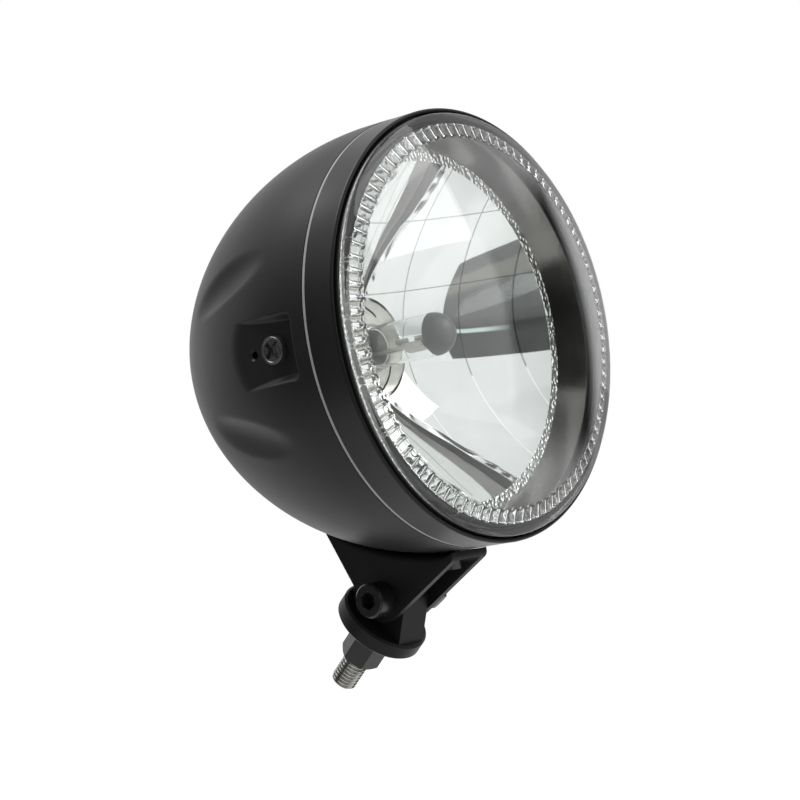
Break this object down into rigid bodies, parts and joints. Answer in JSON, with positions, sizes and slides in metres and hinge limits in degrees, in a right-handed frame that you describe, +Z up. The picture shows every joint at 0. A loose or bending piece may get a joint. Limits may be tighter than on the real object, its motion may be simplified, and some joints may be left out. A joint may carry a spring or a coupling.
{
  "type": "motorcycle headlight",
  "caption": "Round black motorcycle headlight: pressed bucket, trim ring, clear glass with a prism rim, faceted reflector and bulb, on a tilting bottom bracket with a threaded stud.",
  "frame": {"origin": "on the stud's axis, at the middle of its bare thread, 38.7 mm from the pivot", "axes": "the lamp shines along -Y with its own axis level, +Z up, +X to the lamp's left as its driver sees it; the stud points down and back, 50 degrees from upright"},
  "size_m": [0.1586, 0.1369, 0.2042],
  "materials": {
    "bucket_paint": "matte black paint",
    "joint_gasket": "pale grey gasket",
    "trim_paint": "satin black paint",
    "clear_glass": "clear pressed glass",
    "seal_rubber": "black rubber",
    "mirror_metal": "vapour deposited mirror",
    "zinc_steel": "zinc plated steel",
    "black_screw": "black zinc screw",
    "bulb_envelope": "clear glass with a black painted tip",
    "lamp_wire": "molybdenum and tungsten",
    "collar_steel": "nickel plated steel",
    "socket_body": "pale insulating body",
    "blade_metal": "tinned brass",
    "bracket_paint": "black powder coat",
    "bolt_black": "black oxide steel",
    "base_paint": "black powder coat",
    "stud_steel": "bare zinc plated thread"
  },
  "bodies": {
    "mount": {"swivel_base": "base_paint", "stud": "stud_steel", "stud_nut": "bolt_black"},
    "lamp": {"bucket": "bucket_paint", "bucket_gasket": "joint_gasket", "trim_ring": "trim_paint", "lens": "clear_glass", "lens_gasket": "seal_rubber", "reflector": "mirror_metal", "mounting_ring": "zinc_steel", "insert_clips": "zinc_steel", "side_screws": "black_screw", "side_nuts": "zinc_steel", "bulb_glass": "bulb_envelope", "bulb_filaments": "lamp_wire", "bulb_collar": "collar_steel", "bulb_socket": "socket_body", "bulb_terminals": "blade_metal", "bulb_clip": "collar_steel", "bulb_boot": "seal_rubber", "bracket": "bracket_paint", "bracket_plate": "zinc_steel", "bracket_screws": "black_screw", "bracket_nuts": "zinc_steel", "pivot_bolt": "bolt_black", "pivot_washer": "bolt_black", "pivot_nut": "bolt_black", "cable_grommet": "seal_rubber"}
  },
  "joints": [
    {"name": "tilt", "type": "hinge", "parent": "mount", "child": "lamp", "pos_m": [0, -0.02965, 0.02488], "axis": [1, 0, 0], "range_deg": [-18, 80]}
  ]
}
